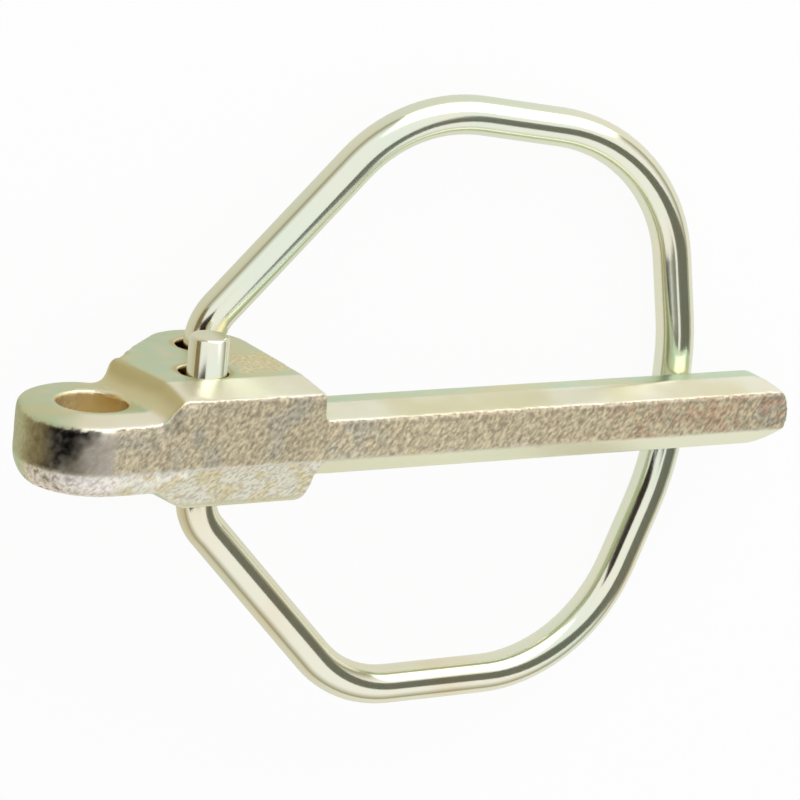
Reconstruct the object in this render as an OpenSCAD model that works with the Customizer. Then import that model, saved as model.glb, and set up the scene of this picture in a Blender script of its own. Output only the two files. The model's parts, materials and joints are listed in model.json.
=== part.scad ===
// A linch pin: a forged steel pin with an eye at its head, and a sprung wire bail.
// The bail's two legs pass through offset holes in the head and its far bar snaps
// against the back of the shank. Lengths are millimetres.
// In the pin's own frame X runs from the eye to the tip, Y along the holes, and
// Z towards the trimmed front face. The middle of the eye's hole is at X = 0.

/* [Shank] */
// Length of the shank, from the head's shoulder to the tip
shank_len = 68; // [55:1:95]
// Depth of the shank, from its back face to its front face
shank_depth = 10; // [9:0.5:12]
// Height of the shank, along the holes
shank_h = 9.2; // [8:0.1:12]
// Width of the flat along the shank's top and underside
shank_flat = 2.8; // [2:0.1:4]
// Drop of the shank's crowned top to the edge of its front face
shank_crown = 1.4; // [0.6:0.1:2]
// Corner radius of the tip's upper edge
tip_top_r = 3.6; // [1:0.1:4]
// Corner radius of the tip's lower edge
tip_low_r = 4; // [1:0.1:4.2]

/* [Front face] */
// Height of the trimmed front face's lower edge below the middle plane
band_low = 1.5; // [0.5:0.1:2.5]
// Radius that softens the edges of the forged section
edge_r = 0.7; // [0.2:0.1:1]

/* [Eye] */
// Outer radius of the eye
eye_r = 9.1; // [7.5:0.1:12]
// Diameter of the eye's hole
eye_hole_d = 8.8; // [6:0.1:9.6]
// Thickness of the eye, along its hole
eye_t = 9.8; // [8:0.1:13]
// Drop of the eye's crowned top at its rim
eye_crown = 1; // [0.4:0.1:1.6]
// Width of the crowned ring around the eye's top
eye_crown_w = 3.4; // [1:0.1:3.8]
// Radius of the eye's lower rim
eye_low_r = 3.3; // [1:0.1:3.3]

/* [Head] */
// Distance from the middle of the eye's hole to the shoulder
head_len = 27.4; // [25:0.1:34]
// Thickness of the head, along the holes
head_t = 15.6; // [14:0.1:20]
// Drop of the head's crowned top at its front edge
head_crown = 1; // [0.4:0.1:2]
// Width of the crowned strip along the head's front
head_crown_w = 5.8; // [3:0.1:6.5]
// Width of the drafted strip along the head's underside
head_draft_w = 3.6; // [2:0.1:4]
// Gap from the edge of the eye's hole to the foot of the step up to the head's top
step_top_gap = 0.4; // [0.2:0.1:2.5]
// Gap from the edge of the eye's hole to the foot of the step under the head
step_low_gap = 0.6; // [0.2:0.1:2.2]
// Run of the upper step, along the pin
step_top_run = 2.5; // [2:0.1:5]
// Run of the lower step, along the pin
step_low_run = 4.4; // [2:0.1:6]
// Angle by which the steps lie across the pin
step_skew = 9; // [0:1:12]
// Outer radius of the ear around the rear wire hole
ear_r = 7.2; // [6:0.1:9]
// Height of the bevel around the ear's rim
rim_h = 1.1; // [0.5:0.1:2]
// Width of the bevel around the ear's rim
rim_w = 0.6; // [0.3:0.1:1.2]
// Place of the neck's corner, from the eye's middle towards the tip
neck_x = 5.2; // [4:0.1:6]

/* [Wire holes] */
// Gap between the wire and its hole, on the radius
hole_gap = 0.6; // [0.3:0.05:1]
// Distance by which the legs lie off the middle of their holes, towards the tip
leg_shift = 0.45; // [0:0.05:0.55]
// Distance from the eye's middle to the front hole, along the pin
front_hole_x = 14.7; // [13:0.1:16]
// Depth of the front hole behind the pin's axis
front_hole_z = 4.2; // [3:0.1:5]
// Distance from the eye's middle to the rear hole, along the pin
rear_hole_x = 19.5; // [18.5:0.1:20]
// Depth of the rear hole behind the pin's axis
rear_hole_z = 15; // [13.5:0.1:17]

/* [Wire bail] */
// Diameter of the wire
wire_d = 5; // [4:0.1:5.6]
// Length of each wire end that stands out of the head
wire_stub = 4.5; // [2:0.1:7]
// Width of the small bevel on each wire end
wire_bevel = 0.35; // [0.1:0.05:0.6]
// Gap between the shut bail and the back of the shank
seat_gap = 0.1; // [0.05:0.05:0.3]
// Distance from the tip back to the bail's far bar
bar_inset = 10.2; // [8:0.1:14]
// Height above the head's face at which the upper leg turns outwards
upper_rise = 2.5; // [1.5:0.1:4]
// Depth below the head's face at which the lower leg turns outwards
lower_rise = 3; // [1.5:0.1:4]
// Bend radius where a leg leaves the head, at the wire's middle
leg_bend_r = 7; // [5:0.5:8]
// Bend radius of the upper corner nearer the head
upper_near_r = 19; // [10:0.5:20]
// Bend radius of the lower corner nearer the head
lower_near_r = 16; // [10:0.5:20]
// Bend radius of the corners nearer the tip
far_bend_r = 21; // [12:0.5:22]
// Bend radius beside the far bar
bar_bend_r = 36; // [20:1:38]
// Upper corner near the head: distance along the pin from its leg
upper_near_x = 24.9; // [22:0.1:28]
// Upper corner near the head: height above the middle plane
upper_near_y = 38.3; // [34:0.1:42]
// Upper corner near the tip: distance back from the far bar
upper_far_x = 4.7; // [3:0.1:7]
// Upper corner near the tip: height above the middle plane
upper_far_y = 33.7; // [32:0.1:38]
// Height above the middle plane at which the far bar straightens
upper_bar_y = 7.4; // [5:0.1:8]
// Lower corner near the head: distance along the pin from its leg
lower_near_x = 23.6; // [22:0.1:28]
// Lower corner near the head: depth below the middle plane
lower_near_y = 36.1; // [33:0.1:40]
// Lower corner near the tip: distance back from the far bar
lower_far_x = 10.6; // [8:0.1:12]
// Lower corner near the tip: depth below the middle plane
lower_far_y = 36.6; // [34:0.1:40]
// Depth below the middle plane at which the far bar straightens
lower_bar_y = 9; // [7:0.1:10]

/* [Hidden] */
$fn = 64;

// How far a cutting solid reaches past what it cuts
past = 5;
// Steps in a softened corner of an outline
corner_steps = 6;
// A ball this much larger than the wire fuses its runs and bends
ball_gain = 0.02;
// The flanks run this far inside the round ear and eye, so that they cross them
flank_bite = 0.02;

wire_r = wire_d / 2;
hole_r = wire_r + hole_gap;
front_z = shank_depth / 2;
tip_x = head_len + shank_len;
eye_z = front_z - eye_r;
bar_x = tip_x - bar_inset;
bar_z = -(front_z + seat_gap + wire_r);
stub_y = head_t / 2 + wire_stub;

front_hole = [front_hole_x, -front_hole_z];
rear_hole = [rear_hole_x, -rear_hole_z];
front_leg = front_hole + [leg_shift, 0];
rear_leg = rear_hole + [leg_shift, 0];
bar = [bar_x, bar_z];

// Distance from the middle of the eye's hole to the foot of each step
step_top_foot = eye_hole_d / 2 + step_top_gap;
step_low_foot = eye_hole_d / 2 + step_low_gap;
// The neck runs into the head, past the foot of the step
neck_len = step_low_foot + step_low_run;
shoulder = [head_len, front_z];
// Where the ear's straight flank leaves the eye, just inside the eye's rim
neck_reach = eye_r - flank_bite;
neck_corner = [neck_x, eye_z - sqrt(neck_reach * neck_reach - neck_x * neck_x)];
// Where the two flanks meet the ear, just inside its round end
flank_r = ear_r - flank_bite;
flank_out = rear_hole + flank_r * unit(touch_angle(shoulder, rear_hole, flank_r, -1));
flank_in = rear_hole + flank_r * unit(touch_angle(neck_corner, rear_hole, flank_r, 1));

// The pin lies on its ear and on the bail's far bar, with its tip down by this angle
lean = bar - rear_hole;
lie = atan2(lean.y, lean.x) + asin((ear_r - wire_r) / norm(lean));

// Unit vector at angle a, and the angle of the way from p to q
function unit(a) = [cos(a), sin(a)];
function way(p, q) = atan2(q.y - p.y, q.x - p.x);

// Turn from one direction to another, between -180 and 180
function turn(a, b) = (b - a) - 360 * round((b - a) / 360);

// Distance from corner q to where an arc of radius r leaves its two sides
function cut_back(p, q, s, r) = r * tan(abs(turn(way(p, q), way(q, s))) / 2);

// Outline points with corner i rounded to radii[i]
function softened(pts, radii) = [
    for (i = [0 : len(pts) - 1])
        let (
            q = pts[i],
            p = pts[(i + len(pts) - 1) % len(pts)],
            s = pts[(i + 1) % len(pts)],
            a = way(p, q),
            bend = turn(a, way(q, s)),
            side = bend > 0 ? 90 : -90,
            start = q - unit(a) * cut_back(p, q, s, radii[i]),
            centre = start + unit(a + side) * radii[i]
        )
        for (k = radii[i] > 0 ? [0 : corner_steps] : [0])
            radii[i] > 0 ? centre + unit(a - side + bend * k / corner_steps) * radii[i] : q
];

// Angle, seen from c, at which a line from q touches the circle of radius r about c.
// side is 1 or -1 and picks one of the two tangents.
function touch_angle(q, c, r, side) = way(c, q) + side * acos(r / norm(q - c));

// Sweeps its child profile along a path of straight runs and round bends.
// The profile's right is the path's left. radii[i] is the bend at point i.
// A ball of radius ball_r, if given, fuses each run to the bends beside it.
module follow(pts, radii, ball_r = 0) {
    last = len(pts) - 1;
    back = [
        for (i = [0 : last])
            i == 0 || i == last ? 0 : cut_back(pts[i - 1], pts[i], pts[i + 1], radii[i])
    ];
    for (i = [0 : last - 1]) {
        a = way(pts[i], pts[i + 1]);
        start = pts[i] + unit(a) * back[i];
        run = norm(pts[i + 1] - pts[i]) - back[i] - back[i + 1];
        translate([start.x, start.y, 0])
            rotate([90, 0, a + 90])
                linear_extrude(run) children();
    }
    for (i = [1 : 1 : last - 1]) {
        a = way(pts[i - 1], pts[i]);
        bend = turn(a, way(pts[i], pts[i + 1]));
        side = bend > 0 ? 1 : -1;
        start = pts[i] - unit(a) * back[i];
        centre = start + unit(a + 90 * side) * radii[i];
        translate([centre.x, centre.y, 0])
            rotate([0, 0, bend > 0 ? a - 90 : a + 90 + bend])
                rotate_extrude(angle = abs(bend))
                    translate([radii[i], 0]) flipped(bend > 0) children();
        if (ball_r > 0)
            for (p = [start, pts[i] + unit(a + bend) * back[i]])
                translate([p.x, p.y, 0]) sphere(r = ball_r);
    }
}

// Mirrors a profile left to right if flip is true
module flipped(flip) {
    if (flip) mirror([1, 0]) children();
    else children();
}

// Extrudes a section, drawn with Y to the right and Z up, from x0 to x1
module along_x(x0, x1) {
    translate([x0, 0, 0]) rotate([90, 0, 90]) linear_extrude(x1 - x0) children();
}

// Extrudes an outline, drawn with X to the right and Z up, from y0 to y1
module along_y(y0, y1) {
    translate([0, y1, 0]) rotate([90, 0, 0]) linear_extrude(y1 - y0) children();
}

// Extrudes an outline, drawn in X and Y, from z0 to z1
module along_z(z0, z1) {
    translate([0, 0, z0]) linear_extrude(z1 - z0) children();
}

// Bore of radius r along Y through p, which is [x, z]
module bore(p, r, length) {
    translate([p.x, length / 2, p.y]) rotate([90, 0, 0]) cylinder(r = r, h = length);
}

// Turns the pin from its own frame to the way it lies on a floor, with the middle
// of the eye's hole at the origin
module laid() {
    rotate([0, lie, 0]) translate([0, 0, -eye_z]) children();
}

// The shank's section: flats above and below, a crowned top and a drafted underside
module shank_section() {
    half_h = shank_h / 2;
    half_flat = shank_flat / 2;
    polygon(softened([
        [-band_low, -front_z],
        [-half_h, -half_flat],
        [-half_h, half_flat],
        [-band_low, front_z],
        [half_h - shank_crown, front_z],
        [half_h, half_flat],
        [half_h, -half_flat],
        [half_h - shank_crown, -front_z]
    ], [for (i = [0 : 7]) edge_r]));
}

// Seen from the front, the tip's two corners are rounded
module shank_bar() {
    reach = shank_h;
    intersection() {
        along_x(head_len / 2, tip_x) shank_section();
        along_z(-reach, reach)
            polygon(softened([
                [0, -shank_h / 2],
                [tip_x, -shank_h / 2],
                [tip_x, shank_h / 2],
                [0, shank_h / 2]
            ], [0, tip_low_r, tip_top_r, 0]));
    }
}

// The eye is a thick disc, crowned above and drafted below
module eye_disc() {
    half_t = eye_t / 2;
    translate([0, 0, eye_z]) rotate([-90, 0, 0])
        rotate_extrude()
            polygon(softened([
                [0, -half_t],
                [eye_r, -half_t],
                [eye_r, half_t - eye_crown],
                [eye_r - eye_crown_w, half_t],
                [0, half_t]
            ], [0, eye_low_r, edge_r, edge_r, 0]));
}

// The neck carries the eye's section on towards the head, along the front face
module neck() {
    half_t = eye_t / 2;
    along_x(0, neck_len)
        polygon(softened([
            [-half_t, eye_z],
            [-half_t, front_z],
            [half_t - eye_crown, front_z],
            [half_t, front_z - eye_crown_w],
            [half_t, eye_z]
        ], [0, eye_low_r, edge_r, edge_r, 0]));
}

// The head's block in plan, with straight flanks that run back into the ear
module block_plan() {
    polygon([
        [0, front_z],
        shoulder,
        flank_out,
        rear_hole,
        flank_in,
        neck_corner,
        [0, eye_z]
    ]);
}

// The ear's round end, bevelled round both rims
module ear() {
    half_t = head_t / 2;
    translate([rear_hole.x, 0, rear_hole.y]) rotate([-90, 0, 0])
        rotate_extrude()
            polygon([
                [0, -half_t],
                [ear_r - rim_w, -half_t],
                [ear_r, -half_t + rim_h],
                [ear_r, half_t - rim_h],
                [ear_r - rim_w, half_t],
                [0, half_t]
            ]);
}

// The head's section, running from the ear to the crowned and drafted front
module head_section() {
    half_t = head_t / 2;
    rear = -rear_hole_z - ear_r - past;
    polygon(softened([
        [-half_t, rear],
        [-half_t, front_z - head_draft_w],
        [-band_low, front_z],
        [half_t - head_crown, front_z],
        [half_t, front_z - head_crown_w],
        [half_t, rear]
    ], [0, edge_r, edge_r, edge_r, edge_r, 0]));
}

// Cuts away what lies above the slope of a step. The slope starts at the eye's
// face, at distance foot from the middle of its hole, and climbs to the head's
// face over the given run.
module step_cut(foot, run) {
    size = 4 * head_len;
    slope = atan2((head_t - eye_t) / 2, run);
    translate([0, 0, eye_z])
        rotate([0, step_skew, 0])
            translate([foot, eye_t / 2, 0])
                rotate([0, 0, slope])
                    translate([-size, 0, -size / 2]) cube([2 * size, size, size]);
}

// Cuts the bevel along a straight flank of the block, which runs from p to q
module flank_cut(p, q) {
    reach = past * unit(way(p, q));
    rotate([90, 0, 0])
        follow([p - reach, q + reach], [0, 0])
            polygon([
                [-2 * rim_w, -head_t / 2 - rim_h],
                [rim_w, -head_t / 2 - rim_h],
                [rim_w, -head_t / 2 + 2 * rim_h]
            ]);
}

// The block in front and the ear behind it, with the steps down to the eye
module head_block() {
    difference() {
        union() {
            difference() {
                intersection() {
                    along_y(-head_t / 2, head_t / 2) block_plan();
                    along_x(0, head_len) head_section();
                }
                for (face = [0, 1])
                    mirror([0, face, 0]) {
                        flank_cut(shoulder, flank_out);
                        flank_cut(flank_in, neck_corner);
                    }
            }
            ear();
        }
        step_cut(step_top_foot, step_top_run);
        mirror([0, 1, 0]) step_cut(step_low_foot, step_low_run);
    }
}

// The forged pin: eye, neck, head and shank in one piece, with its three holes
module pin_body() {
    deep = head_t + 2 * past;
    color([0.74, 0.71, 0.58])
        laid() difference() {
            union() {
                eye_disc();
                neck();
                head_block();
                shank_bar();
            }
            bore([0, eye_z], eye_hole_d / 2, deep);
            bore(front_hole, hole_r, deep);
            bore(rear_hole, hole_r, deep);
        }
}

// One half of the bail, from its stub in the head to the far bar. It lies in a
// plane through the far bar, which leans so that the leg meets its own hole.
module bail_half(leg, rise, near, near_r, far, bar_y) {
    reach = norm(bar - leg);
    leg_turn_y = head_t / 2 + rise;
    difference() {
        translate([bar.x, 0, bar.y])
            rotate([0, atan2(leg.y - bar.y, bar.x - leg.x), 0])
                follow([
                    [-reach, -stub_y],
                    [-reach, leg_turn_y],
                    [-reach + near.x, near.y],
                    [-far.x, far.y],
                    [0, bar_y],
                    [0, 0]
                ], [0, leg_bend_r, near_r, far_bend_r, bar_bend_r, 0], wire_r + ball_gain)
                    circle(r = wire_r);
        translate([leg.x, -stub_y, leg.y])
            rotate([-90, 0, 0])
                rotate_extrude()
                    polygon([
                        [wire_r - 2 * wire_bevel, -wire_bevel],
                        [wire_r + wire_bevel, -wire_bevel],
                        [wire_r + wire_bevel, 2 * wire_bevel]
                    ]);
    }
}

// The sprung bail, bent from one length of round wire
module wire_bail() {
    upper_near = [upper_near_x, upper_near_y];
    upper_far = [upper_far_x, upper_far_y];
    lower_near = [lower_near_x, lower_near_y];
    lower_far = [lower_far_x, lower_far_y];
    color([0.8, 0.77, 0.62])
        laid() {
            bail_half(rear_leg, upper_rise, upper_near, upper_near_r, upper_far, upper_bar_y);
            mirror([0, 1, 0])
                bail_half(front_leg, lower_rise, lower_near, lower_near_r, lower_far, lower_bar_y);
            translate([bar.x, 0, bar.y]) sphere(r = wire_r + ball_gain);
        }
}

pin_body();
wire_bail();
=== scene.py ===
import json
import math
import bmesh
import bpy
from mathutils import Matrix, Vector, noise


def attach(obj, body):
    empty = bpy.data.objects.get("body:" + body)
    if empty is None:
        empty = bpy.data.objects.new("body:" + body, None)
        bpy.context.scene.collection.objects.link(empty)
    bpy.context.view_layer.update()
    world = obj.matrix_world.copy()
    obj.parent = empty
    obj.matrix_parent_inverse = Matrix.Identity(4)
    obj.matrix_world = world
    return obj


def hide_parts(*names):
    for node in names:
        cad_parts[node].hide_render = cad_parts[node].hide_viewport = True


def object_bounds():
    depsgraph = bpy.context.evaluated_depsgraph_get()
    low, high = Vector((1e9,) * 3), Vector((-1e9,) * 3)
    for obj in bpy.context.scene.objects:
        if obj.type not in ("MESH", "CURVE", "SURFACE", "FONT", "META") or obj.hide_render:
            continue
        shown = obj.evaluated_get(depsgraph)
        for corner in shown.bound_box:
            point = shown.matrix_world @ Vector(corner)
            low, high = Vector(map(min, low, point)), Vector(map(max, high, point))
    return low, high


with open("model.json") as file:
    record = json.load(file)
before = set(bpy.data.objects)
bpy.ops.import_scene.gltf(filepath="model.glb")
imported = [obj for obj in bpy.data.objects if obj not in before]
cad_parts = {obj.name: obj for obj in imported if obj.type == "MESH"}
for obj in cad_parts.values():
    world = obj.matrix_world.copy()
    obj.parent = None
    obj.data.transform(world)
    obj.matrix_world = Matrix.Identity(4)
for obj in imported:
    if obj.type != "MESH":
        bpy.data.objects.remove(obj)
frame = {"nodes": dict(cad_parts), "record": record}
cad_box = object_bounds()

# Camera
# The pin's own axes come from its mounts: along the shank, across it along the
# holes, and out of the trimmed front. The camera stands in front, to the eye's side.
MM = 0.001
mounts = {m["name"]: m for m in frame["record"]["mounts"]}
along = Vector(mounts["shank"]["axis"])
across = Vector(mounts["eye_hole"]["axis"])
front = Vector(mounts["front_face"]["axis"])
eye_drop = 4.1 * MM  # how far the eye's middle lies behind the shank's axis


def pin_point(x, y, z):
    """A point given from the eye's middle along the pin, across it, and from the shank's axis."""
    return along * x + across * y + front * (z + eye_drop)


view_azimuth = math.radians(30.54)
view_elevation = math.radians(16.32)
view_roll = math.radians(5.8)
view_distance = 504.55 * MM
view_target = pin_point(40.14 * MM, 3.91 * MM, 0)
to_camera = (-along * math.sin(view_azimuth) * math.cos(view_elevation)
             + across * math.sin(view_elevation)
             + front * math.cos(view_azimuth) * math.cos(view_elevation))
level_right = (-to_camera).cross(across).normalized()
level_up = level_right.cross(-to_camera)
view_right = level_right * math.cos(view_roll) + level_up * math.sin(view_roll)
view_up = level_up * math.cos(view_roll) - level_right * math.sin(view_roll)
camera_data = bpy.data.cameras.new("camera")
camera_data.sensor_width = 36
camera_data.lens = 183.56
camera_data.clip_start = 0.01
camera = bpy.data.objects.new("camera", camera_data)
camera.matrix_world = Matrix.Translation(view_target + to_camera * view_distance) @ Matrix(
    (view_right, view_up, to_camera)).transposed().to_4x4()
bpy.context.scene.collection.objects.link(camera)
bpy.context.scene.camera = camera
bpy.context.scene.view_settings.view_transform = "Standard"

# Floor
# A plain white table under the pin, which lies on its ear and on the bail's far bar.
# It is white to the camera and keeps the pin's shadow. Mirrored in the metal it is
# warm, with a painted falloff of light that makes it duller towards the eye's end.


def linear(code):
    """An sRGB hex colour as linear red, green, blue and alpha."""
    parts = [int(code[i:i + 2], 16) / 255 for i in (1, 3, 5)]
    return [p / 12.92 if p <= 0.04045 else ((p + 0.055) / 1.055) ** 2.4 for p in parts] + [1]


def add(tree, kind, sockets, **settings):
    """Adds a node with its settings, and fills its sockets with values or links."""
    made = tree.nodes.new(kind)
    for name, value in settings.items():
        setattr(made, name, value)
    for name, value in sockets.items():
        if isinstance(value, bpy.types.NodeSocket):
            tree.links.new(value, made.inputs[name])
        else:
            made.inputs[name].default_value = value
    return made


def new_material(name):
    """An empty material and its node tree."""
    made = bpy.data.materials.new(name)
    made.use_nodes = True
    made.node_tree.nodes.clear()
    return made, made.node_tree


floor_half = 3.0
white_to_camera = 0.93
white_in_mirrors = 0.8
floor_mesh = bpy.data.meshes.new("floor")
shape = bmesh.new()
bmesh.ops.create_grid(shape, x_segments=1, y_segments=1, size=floor_half)
bmesh.ops.translate(shape, verts=shape.verts, vec=(0, 0, cad_box[0][2]))
shape.to_mesh(floor_mesh)
shape.free()
floor = bpy.data.objects.new("floor", floor_mesh)
bpy.context.scene.collection.objects.link(floor)
white_table, tree = new_material("white_table")
paths = add(tree, "ShaderNodeLightPath", {})
mirrored = add(tree, "ShaderNodeMath", {0: paths.outputs["Is Glossy Ray"], 1: white_in_mirrors},
               operation="MULTIPLY")
share = add(tree, "ShaderNodeMath", {0: paths.outputs["Is Camera Ray"], 1: white_to_camera,
                                     2: mirrored.outputs[0]}, operation="MULTIPLY_ADD")
matt = add(tree, "ShaderNodeBsdfDiffuse", {"Color": linear("#F4F4F2")})
place = add(tree, "ShaderNodeTexCoord", {})
lengthwise = add(tree, "ShaderNodeSeparateXYZ", {"Vector": place.outputs["Object"]})
# Painted falloff of light: seen in mirrors, the table darkens and warms towards the eye's end
spread = add(tree, "ShaderNodeMapRange", {"Value": lengthwise.outputs["X"],
                                          "From Min": -50 * MM, "From Max": 70 * MM})
warm_painted_falloff = add(tree, "ShaderNodeValToRGB", {"Fac": spread.outputs[0]})
warm_painted_falloff.color_ramp.elements[0].color = linear("#C9BD9C")
warm_painted_falloff.color_ramp.elements[1].color = linear("#F2F2E8")
seen = add(tree, "ShaderNodeMix", {"Factor": paths.outputs["Is Glossy Ray"],
                                   6: linear("#FFFFFF"), 7: warm_painted_falloff.outputs["Color"]},
           data_type="RGBA")
glow = add(tree, "ShaderNodeEmission", {"Color": seen.outputs[2], "Strength": 1.0})
table = add(tree, "ShaderNodeMixShader", {0: share.outputs[0], 1: matt.outputs[0],
                                          2: glow.outputs[0]})
add(tree, "ShaderNodeOutputMaterial", {"Surface": table.outputs[0]})
floor_mesh.materials.append(white_table)

# Studio light
# A pale room whose walls are duller than its ceiling, and one broad soft lamp above and to
# the right of the view. Dull cards round the camera draw the dark lines along the wire.
world = bpy.data.worlds.new("pale_room")
bpy.context.scene.world = world
world.use_nodes = True
tree = world.node_tree
tree.nodes.clear()
room_light = 0.75
paths = add(tree, "ShaderNodeLightPath", {})
level = add(tree, "ShaderNodeMapRange", {"Value": paths.outputs["Is Camera Ray"],
                                         "To Min": room_light, "To Max": 1.0})
toward = add(tree, "ShaderNodeTexCoord", {})
height = add(tree, "ShaderNodeSeparateXYZ", {"Vector": toward.outputs["Generated"]})
walls = add(tree, "ShaderNodeValToRGB", {"Fac": height.outputs["Z"]})
walls.color_ramp.elements[0].position = 0.12
walls.color_ramp.elements[0].color = linear("#ADA78F")
walls.color_ramp.elements[1].position = 0.5
walls.color_ramp.elements[1].color = linear("#FFFFFF")
inside = add(tree, "ShaderNodeMix", {"Factor": paths.outputs["Is Glossy Ray"],
                                     6: linear("#FFFFFF"), 7: walls.outputs["Color"]},
             data_type="RGBA")
glossy_level = add(tree, "ShaderNodeMath", {0: paths.outputs["Is Glossy Ray"],
                                            1: 1.0 - room_light, 2: level.outputs[0]},
                   operation="MULTIPLY_ADD")
room = add(tree, "ShaderNodeBackground", {"Color": inside.outputs[2],
                                          "Strength": glossy_level.outputs[0]})
add(tree, "ShaderNodeOutputWorld", {"Surface": room.outputs[0]})


def in_view(right, up, near, distance):
    """A place in a direction that is given to the view's right, up and to the camera."""
    way = (view_right * right + view_up * up + to_camera * near).normalized()
    return view_target + way * distance


lamp_data = bpy.data.lights.new("soft_lamp", "AREA")
lamp_data.shape = "SQUARE"
lamp_data.size = 0.9
lamp_data.energy = 3.3
lamp = bpy.data.objects.new("soft_lamp", lamp_data)
bpy.context.scene.collection.objects.link(lamp)
place = in_view(0.53, 0.77, 0.37, 0.7)
lamp.matrix_world = Matrix.Translation(place) @ (
    place - view_target).to_track_quat("Z", "Y").to_matrix().to_4x4()

# Each card: how far right, up and towards the camera it stands, its distance, width and
# height in metres, and its colour
cards = [
    ("card_right", (0.92, -0.33, 0.23), 0.25, 0.26, 0.145, "#7E7F74"),
    ("card_below", (0.10, -0.57, 0.81), 0.3, 0.22, 0.065, "#7A7D70"),
    ("card_left", (-0.40, -0.09, 0.91), 0.45, 0.30, 0.19, "#33261C"),
    ("card_far_left", (-0.80, 0.25, 0.54), 0.6, 0.30, 0.30, "#8F7F58"),
    ("card_lower_left", (-0.42, -0.50, 0.76), 0.6, 0.27, 0.24, "#261E18"),
]
for name, stand, distance, width, height, colour in cards:
    card_mesh = bpy.data.meshes.new(name)
    shape = bmesh.new()
    bmesh.ops.create_grid(shape, x_segments=1, y_segments=1, size=0.5)
    bmesh.ops.scale(shape, vec=(width, height, 1), verts=shape.verts)
    shape.to_mesh(card_mesh)
    shape.free()
    card = bpy.data.objects.new(name, card_mesh)
    bpy.context.scene.collection.objects.link(card)
    # Upright in the view, and facing its middle
    place = in_view(*stand, distance)
    facing = (view_target - place).normalized()
    side = view_up.cross(facing).normalized()
    card.matrix_world = Matrix.Translation(place) @ Matrix(
        (side, facing.cross(side), facing)).transposed().to_4x4()
    card.visible_camera = False
    card.visible_diffuse = False
    card.visible_shadow = False
    felt, tree = new_material("felt_" + name)
    cloth = add(tree, "ShaderNodeBsdfDiffuse", {"Color": linear(colour)})
    add(tree, "ShaderNodeOutputMaterial", {"Surface": cloth.outputs[0]})
    card_mesh.materials.append(felt)

# Forged pin
# Eye, neck, head and shank are one drop forging, plated with zinc and passivated yellow.
# The flash was trimmed off along its front, which left a torn, granular band there.
voxel = 0.275 * MM

# Sizes in millimetres, along the pin from the eye's middle, and to the front from the
# shank's axis
eye_r = 9.1
eye_hole_r = 4.4
eye_half = 4.9
head_half = 7.8
shank_half = 4.6
eye_crown = 1
eye_crown_w = 3.4
head_crown = 1
shank_crown = 1.4
head_start = 8
head_end = 27.4
front_z = 5
eye_z = -eye_drop / MM
band_edge = 1.5
wire_holes = [(14.7, -4.2), (19.5, -15)]
wire_hole_r = 3.1
patch_x, patch_z, patch_r = 22.8, -6.4, 5.6

# The solid's own mesh, made again in even cells that are fine enough for the grain
body_mesh = frame["nodes"]["pin_body"].data.copy()
shape = bmesh.new()
shape.from_mesh(body_mesh)
bmesh.ops.remove_doubles(shape, verts=shape.verts, dist=0.002 * MM)
shape.to_mesh(body_mesh)
shape.free()
rough_body = bpy.data.objects.new("rough_body", body_mesh)
bpy.context.scene.collection.objects.link(rough_body)
remesh = rough_body.modifiers.new("remesh", "REMESH")
remesh.mode = "VOXEL"
remesh.voxel_size = voxel
forged_mesh = bpy.data.meshes.new_from_object(
    rough_body.evaluated_get(bpy.context.evaluated_depsgraph_get()))
bpy.data.objects.remove(rough_body)
shape = bmesh.new()
shape.from_mesh(forged_mesh)


def soften(verts, passes):
    """Rounds the shape at these vertices, more with each pass."""
    for _ in range(passes):
        bmesh.ops.smooth_vert(shape, verts=verts, factor=0.5,
                              use_axis_x=True, use_axis_y=True, use_axis_z=True)


def measured(v):
    """A vertex in millimetres from the eye's middle: along, across and to the front."""
    return v.co.dot(along) / MM, v.co.dot(across) / MM, v.co.dot(front) / MM


def ramp(value, low, high):
    """Rises smoothly from 0 at low to 1 at high."""
    t = min(1.0, max(0.0, (value - low) / (high - low)))
    return t * t * (3 - 2 * t)


# The steps and the shoulder run in with a soft fillet, softest at the back of the upper
# step, and the upper rim of the eye is round
soften(shape.verts, 3)
step_verts, back_verts, shoulder_verts, rim_verts = [], [], [], []
for v in shape.verts:
    x, y, z = measured(v)
    if 2.6 < x < 10.5 and abs(y) > 3.2 and math.hypot(x, z) > eye_hole_r + 0.5:
        step_verts.append(v)
        if x < 9 and y > 3.4 and z < -4.2:
            back_verts.append(v)
    on_rim = math.hypot(min(x, 0), z) > 6.2 if x < 5 else z > 3.5
    if y > 2 and x < 11 and on_rim:
        rim_verts.append(v)
    if head_end - 1.5 < x < head_end + 2.2 and abs(z + eye_z) < 5.2:
        shoulder_verts.append(v)
soften(step_verts, 14)
soften(back_verts, 45)
soften(shoulder_verts, 6)
soften(rim_verts, 26)
shape.normal_update()

# The eye's crown falls less at the back than in front, and its lower rim is fuller in front
back_lift = 0.85
rim_drop = 0.6
for v in shape.verts:
    x, y, z = measured(v)
    behind = ramp(-z, -1, 4) * (1 - ramp(x, 5, 7.5)) * ramp(y, 0.5, 3.8)
    crowned = min(1.0, max(0.0, (math.hypot(x, z) - eye_r + eye_crown_w) / eye_crown_w))
    lift = min(back_lift * behind * crowned, max(0.0, head_half - 0.2 - y))
    rim = ramp(math.hypot(min(x, 0), z), 6, 8.5) * ramp(z, -4, 2) * (1 - ramp(x, 5.5, 8))
    v.co += across * (lift * MM)
    v.co -= across * (rim_drop * rim * ramp(-y, 0.8, 3.2) * MM)


def tone(code):
    """An sRGB hex colour as a linear vector, for mixing."""
    return Vector(linear(code)[:3])


def blotches(v, size):
    """Noise whose blotches are this many millimetres wide."""
    return noise.noise(v.co / (size * MM))
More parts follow.
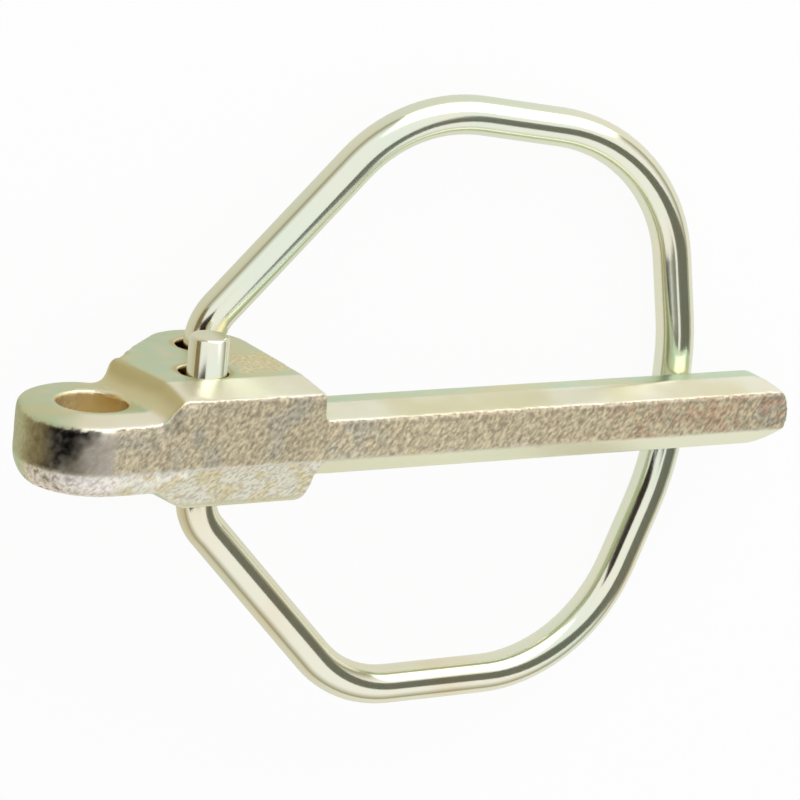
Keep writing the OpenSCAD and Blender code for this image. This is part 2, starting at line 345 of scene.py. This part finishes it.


# Colour of the film with the light painted on it, grain of the metal, zone by zone, and how deep
# the metal is torn
mint, straw, highlight_cream, rose = tone("#CBE0C6"), tone("#E3DCB6"), tone("#FCF8EC"), tone("#F0E2D8")
torn_depth, grain_depth, wave_depth = 0.11, 0.06, 0.02
film_layer = shape.verts.layers.float_color.new("film")
grain_layer = shape.verts.layers.float.new("grain")
moves = []
for v in shape.verts:
    # In this loop z is taken from the shank's axis
    x, y, z = measured(v)
    z += eye_z
    nx, ny, nz = v.normal.dot(along), v.normal.dot(across), v.normal.dot(front)
    broad, middle, coarse, fine = (blotches(v, size) for size in (8, 2.6, 0.9, 0.5))
    wander = 0.25 * coarse + 0.25 * fine
    from_eye = math.hypot(x, z - eye_z)
    from_wire = min(math.hypot(x - hole_x, z - hole_z) for hole_x, hole_z in wire_holes)
    # Degrees round the eye from its front, towards its far end
    turned = math.degrees(math.atan2(-x, z - eye_z))
    on_eye = ramp(-x, -1.5, 1)
    under_band = ramp(-y + wander, band_edge, band_edge + 0.5)

    # Where the flash was trimmed, and the lip that trimming left along its lower edge
    torn = ramp(nz + 0.5 * wander + 0.2 * ramp(ny, 0.1, 0.4), 0.72, 0.86)
    torn *= ramp(z, front_z - 1.4, front_z - 0.6)
    torn *= ramp(y + wander, -band_edge - 0.25, -band_edge + 0.15)
    torn *= 1 - ramp(-x + 2 * wander, 0.2, 1.6)
    lip = ramp(nz, 0.5, 0.8) * ramp(z, front_z - 0.8, front_z - 0.2) * ramp(x, -2, 0)
    lip *= 1 - ramp(abs(y + band_edge + 0.25 + 0.5 * wander), 0.1, 0.3)
    # Bevels below the band, on the shank and head and round the eye
    bevel = under_band * ramp(nz, 0.1, 0.3)
    head_bevel = bevel * ramp(x, -1.5, 2) * (1 - ramp(x, head_end - 0.4, head_end + 1.1))
    head_bevel *= ramp(y + wander, -head_half + 0.4, -head_half + 1.2)
    eye_bevel = on_eye * under_band * (1 - ramp(turned, 70, 95)) * (1 - ramp(-ny, 0.8, 0.95))
    # Crown above the band, which gets a painted highlight, upper step, and the eye's outer wall
    crown = ramp(ny, 0.55, 0.8) * ramp(nz, 0.06, 0.14)
    crown *= 1 - on_eye * ramp(turned + 10 * middle, 25, 60)
    slope = ramp(-nx, 0.12, 0.4) * ramp(ny, 0.3, 0.6)
    slope *= ramp(y, eye_half - 0.4, eye_half + 0.3) * (1 - ramp(x, head_start, head_start + 2))
    wall = on_eye * ramp(y + 0.5 * wander, -band_edge - 0.4, -band_edge + 0.1)
    wall *= 1 - ramp(ny + 0.8 * wander, 0.5, 0.75)
    # Rough patch on the ear, and the rings round the wire's holes
    patch = ramp(ny, 0.9, 0.98) * ramp(y, head_half - 0.3, head_half - 0.1)
    patch *= 1 - ramp(math.hypot(x - patch_x, z - patch_z) / patch_r + 0.5 * middle, 0.55, 1)
    near_wire = ramp(ny, 0.8, 0.95) * ramp(y, head_half - 0.5, head_half - 0.2)
    near_wire *= 1 - ramp(from_wire + 0.4 * middle, wire_hole_r + 0.2, wire_hole_r + 1)
    # A near-black patch on the eye's wall, from the front round towards its far end
    dark_patch_from = 40 - 4.5 * y + 10 * middle + 6 * coarse
    dark_eye_patch = wall * ramp(turned, dark_patch_from - 6, dark_patch_from + 8)
    dark_eye_patch *= 1 - ramp(turned + 10 * middle + 8 * coarse, 50, 74)

    film = mint.lerp(straw, 0.9 * ramp(broad + 0.35 * middle, -0.35, 0.75))
    film = film.lerp(rose, 0.3 * ramp(middle - 0.6 * broad, 0, 0.8))
    # Partly painted light: the granular bevels below the band are painted paler than their film,
    # to stand in for light from the table.
    film = film.lerp(tone("#F8F5DE"), 0.8 * bevel)
    # Painted highlight: where the crown turns up it is painted near-white cream. Its yellowing,
    # stronger on the shank, is the film's own tone.
    yellowing = (0.2 + 0.45 * ramp(x, 26, 29)) * ramp(0.5 * middle + broad, -0.6, 0.8)
    film = film.lerp(highlight_cream.lerp(straw, yellowing), 0.92 * crown)
    film = film.lerp(tone("#E4DDB8").lerp(tone("#C9BE8C"), ramp(y + 0.4 * middle, 5.4, 7)),
                     0.9 * slope)
    film = film.lerp(tone("#F3DFB4"), 0.7 * patch)
    film = film.lerp(tone("#D9B978"), 0.8 * near_wire)
    # Partly painted light: the head's and eye's bevels are painted near-white to stand in for
    # light from the table. Their darker spots are the grain's own tone.
    film = film.lerp(tone("#FFFCEE").lerp(tone("#F3E7C4"),
                                          ramp(middle + 0.6 * coarse, -0.2, 0.6)),
                     0.9 * head_bevel)
    scorched = ramp(coarse + fine, 0.25, 0.7) * ramp(turned, 25, 45)
    film = film.lerp(tone("#FFF6F0").lerp(tone("#8F7B66"), scorched), 0.9 * eye_bevel)
    film = film.lerp(tone("#BDB1A6").lerp(tone("#9A8E80"), ramp(turned, 22, 38)),
                     0.9 * wall * (1 - ramp(turned, 66, 90)))
    film = film.lerp(tone("#B9BC94"),
                     0.7 * wall * ramp(turned, 74, 90) * (1 - ramp(turned, 120, 150)))
    olive_turned = turned + 8 * middle
    film = film.lerp(tone("#A2966C"), 0.75 * wall * ramp(olive_turned, 50, 66)
                     * (1 - ramp(olive_turned, 76, 92)))
    # Darkens the eye's wall nearly to black within that patch
    film = film.lerp(tone("#141311"), dark_eye_patch * (0.72 + 0.28 * ramp(coarse + fine, -0.8, 0.5)))
    band = tone("#E3D5B5").lerp(tone("#CFC9B8"), 0.8 * ramp(middle - broad, -0.2, 0.9))
    band = band.lerp(tone("#D9AC8C"),
                     0.6 * ramp(x, 45, 85) * ramp(middle + coarse, -0.1, 0.7))
    if x > head_end:
        band_top = shank_half - shank_crown
    elif x > head_start:
        band_top = head_half - head_crown
    else:
        band_top = eye_half - eye_crown
    band = band.lerp(tone("#958A7C"), 0.5 * ramp(y - band_top + wander, -0.9, -0.1))
    film = film.lerp(band * (0.88 + 0.12 * ramp(x, 24, 30)), torn)
    film = film.lerp(tone("#F3E9DF"), 0.75 * lip)
    if from_eye < eye_hole_r + 0.15 and abs(y) < eye_half - 0.1:
        film = tone("#F8ECCB").lerp(tone("#EBD6A2"), ramp(middle, -0.4, 0.5))
    if from_wire < wire_hole_r + 0.15 and abs(y) < head_half - 0.2:
        film = tone("#A98A52")
    grain = max(torn, 0.75 * head_bevel, 0.75 * eye_bevel, 0.5 * patch, 0.35 * wall)
    v[film_layer] = (*film, 1)
    v[grain_layer] = grain

    depth = torn * torn_depth * (0.5 + 0.65 * coarse + 0.35 * fine)
    depth += (1 - torn) * grain * grain_depth * (0.5 + 0.5 * coarse + 0.5 * fine)
    depth += wave_depth * (0.5 + 0.6 * middle + 0.4 * coarse)
    moves.append(v.normal * (-max(0.0, depth) * MM))
for v, move in zip(shape.verts, moves):
    v.co += move
shape.normal_update()
for face in shape.faces:
    face.smooth = True
shape.to_mesh(forged_mesh)
shape.free()
forging = bpy.data.objects.new("forging", forged_mesh)
bpy.context.scene.collection.objects.link(forging)

# Yellow passivated zinc on forged steel: a satin metal. The colour of its thin chromate
# film, with the highlight and light painted on some zones, comes from the attribute. Where the
# metal is granular the film is thick and nearly matt, and each grain takes more or less of it.
grit = 0.42 * MM
plated_forging, tree = new_material("yellow_zinc_on_forged_steel")
film = add(tree, "ShaderNodeAttribute", {}, attribute_name="film")
grain = add(tree, "ShaderNodeAttribute", {}, attribute_name="grain")
place = add(tree, "ShaderNodeTexCoord", {})
drawn_out = add(tree, "ShaderNodeMapping", {"Vector": place.outputs["Object"],
                                            "Rotation": (0, 0, math.radians(50)),
                                            "Scale": (1.7, 1, 1)}, vector_type="TEXTURE")
specks = add(tree, "ShaderNodeTexNoise", {"Vector": drawn_out.outputs[0], "Scale": 1 / grit,
                                          "Detail": 3.0})
swing = add(tree, "ShaderNodeMapRange", {"Value": specks.outputs["Fac"], "From Min": 0.33,
                                         "From Max": 0.67, "To Min": -0.42, "To Max": 0.24})
gain = add(tree, "ShaderNodeMath", {0: grain.outputs["Fac"], 1: swing.outputs[0], 2: 1.0},
           operation="MULTIPLY_ADD")
coloured = add(tree, "ShaderNodeVectorMath", {0: film.outputs["Color"],
                                              "Scale": gain.outputs[0]}, operation="SCALE")
polish = add(tree, "ShaderNodeMapRange", {"Value": grain.outputs["Fac"],
                                          "To Min": 0.3, "To Max": 0.5})
relief = add(tree, "ShaderNodeMapRange", {"Value": grain.outputs["Fac"],
                                          "To Min": 0.08, "To Max": 0.5})
bumps = add(tree, "ShaderNodeBump", {"Strength": relief.outputs[0], "Distance": 0.06 * MM,
                                     "Height": specks.outputs["Fac"]})
bare = add(tree, "ShaderNodeMapRange", {"Value": grain.outputs["Fac"],
                                        "To Min": 1.0, "To Max": 0.65})
metal = add(tree, "ShaderNodeBsdfPrincipled", {
    "Base Color": coloured.outputs[0], "Metallic": bare.outputs[0],
    "Roughness": polish.outputs[0], "Normal": bumps.outputs[0]})
add(tree, "ShaderNodeOutputMaterial", {"Surface": metal.outputs[0]})
forged_mesh.materials.clear()
forged_mesh.materials.append(plated_forging)
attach(forging, "pin")
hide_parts("pin_body")

# Wire bail
# One length of round spring wire, bent cold and plated with the forging. Each end goes
# through its own hole in the head, and the far bar lies against the back of the shank.
wire_r = 2.5 * MM
ring_sides = 40
bend_step = math.radians(4)
bar = Vector((85.2 * MM, -7.6 * MM))
leg_exit = 7.8 * MM
stub_length = 4.5 * MM
stub_bevel = 0.35 * MM
bar_bend_r, far_bend_r, leg_bend_r = 36 * MM, 21 * MM, 7 * MM
# Each half, in millimetres: its side of the pin, where its leg stands, how far the leg
# rises, its near and far corners with the near bend's radius, and the bar's straight part
halves = [
    {"side": 1, "leg": (19.95, -15), "rise": 2.5, "near": (24.9, 38.3), "near_r": 19,
     "far": (4.7, 33.7), "bar_y": 7.4},
    {"side": -1, "leg": (15.15, -4.2), "rise": 3.0, "near": (23.6, 36.1), "near_r": 16,
     "far": (10.6, 36.6), "bar_y": 9},
]


def ring_of(made):
    """The newest ring of edges, and its vertices."""
    edges = [g for g in made if isinstance(g, bmesh.types.BMEdge)]
    return edges, list({v for e in edges for v in e.verts})


wire_mesh = bpy.data.meshes.new("bail")
shape = bmesh.new()
bar_middle = pin_point(bar.x, 0, bar.y)
first = bmesh.ops.create_circle(
    shape, segments=ring_sides, radius=wire_r,
    matrix=Matrix.Translation(bar_middle) @ Matrix.Rotation(math.pi / 2, 4, "X"))
first_edges = list({e for v in first["verts"] for e in v.link_edges})
for half in halves:
    # The half lies in a plane of its own, through the bar and its leg
    leg = Vector(half["leg"]) * MM
    reach = (bar - leg).length
    to_bar = (bar - leg).normalized()
    lengthways = along * to_bar.x + front * to_bar.y
    outwards = across * half["side"]
    hinge = lengthways.cross(outwards)
    near, far = Vector(half["near"]) * MM, Vector(half["far"]) * MM
    corners = [Vector((0, 0)), Vector((0, half["bar_y"] * MM)), Vector((-far.x, far.y)),
               Vector((-reach + near.x, near.y)),
               Vector((-reach, leg_exit + half["rise"] * MM)),
               Vector((-reach, -leg_exit - stub_length + stub_bevel))]
    radii = [0, bar_bend_r, far_bend_r, half["near_r"] * MM, leg_bend_r, 0]
    ring = first_edges
    here = corners[0]
    for i in range(1, len(corners)):
        way = (corners[i] - corners[i - 1]).normalized()
        if i < len(corners) - 1:
            onward = (corners[i + 1] - corners[i]).normalized()
            bend = math.atan2(way.cross(onward), way.dot(onward))
            back = radii[i] * math.tan(abs(bend) / 2)
        else:
            bend, back = 0, 0
        stop = corners[i] - way * back
        run = stop - here
        ring, ends = ring_of(bmesh.ops.extrude_edge_only(shape, edges=ring)["geom"])
        bmesh.ops.translate(shape, verts=ends, vec=lengthways * run.x + outwards * run.y)
        here = stop
        if bend:
            inward = Vector((-way.y, way.x)) * (1 if bend > 0 else -1)
            centre = stop + inward * radii[i]
            made = bmesh.ops.spin(
                shape, geom=ring, cent=bar_middle + lengthways * centre.x + outwards * centre.y,
                axis=hinge, angle=bend, steps=max(2, round(abs(bend) / bend_step)))
            ring, _ = ring_of(made["geom_last"])
            here = corners[i] + onward * back
    # The cut end, with its edge broken
    ring, ends = ring_of(bmesh.ops.extrude_edge_only(shape, edges=ring)["geom"])
    centre = sum((v.co for v in ends), Vector()) / len(ends)
    bmesh.ops.translate(shape, verts=ends, vec=-outwards * stub_bevel)
    for v in ends:
        v.co -= (v.co - centre + outwards * stub_bevel) * (stub_bevel / wire_r)
    bmesh.ops.contextual_create(shape, geom=ring)
bmesh.ops.remove_doubles(shape, verts=shape.verts, dist=0.001 * MM)
bmesh.ops.recalc_face_normals(shape, faces=shape.faces)
for face in shape.faces:
    face.smooth = len(face.verts) == 4
shape.to_mesh(wire_mesh)
shape.free()
bail = bpy.data.objects.new("bail", wire_mesh)
bpy.context.scene.collection.objects.link(bail)

# Yellow passivated zinc on drawn wire: nearly a mirror, with faint draw marks and a
# film that drifts between straw, green and rose as it does on the forging.
film_drift = 22 * MM
draw_mark = 0.5 * MM
plated_wire, tree = new_material("yellow_zinc_on_drawn_wire")
place = add(tree, "ShaderNodeTexCoord", {})
drift = add(tree, "ShaderNodeTexNoise", {"Vector": place.outputs["Object"],
                                         "Scale": 1 / film_drift, "Detail": 3.0})
film = add(tree, "ShaderNodeValToRGB", {"Fac": drift.outputs["Fac"]})
film.color_ramp.elements[0].position = 0.34
film.color_ramp.elements[0].color = linear("#E4EBDA")
film.color_ramp.elements[1].position = 0.66
film.color_ramp.elements[1].color = linear("#ECDFC2")
film.color_ramp.elements.new(0.5).color = linear("#EDEBD8")
marks = add(tree, "ShaderNodeTexNoise", {"Vector": place.outputs["Object"],
                                         "Scale": 1 / draw_mark, "Detail": 2.0})
bumps = add(tree, "ShaderNodeBump", {"Strength": 0.05, "Distance": 0.02 * MM,
                                     "Height": marks.outputs["Fac"]})
metal = add(tree, "ShaderNodeBsdfPrincipled", {
    "Base Color": film.outputs["Color"], "Metallic": 1.0, "Roughness": 0.14,
    "Normal": bumps.outputs[0]})
add(tree, "ShaderNodeOutputMaterial", {"Surface": metal.outputs[0]})
wire_mesh.materials.append(plated_wire)
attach(bail, "bail")
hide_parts("wire_bail")
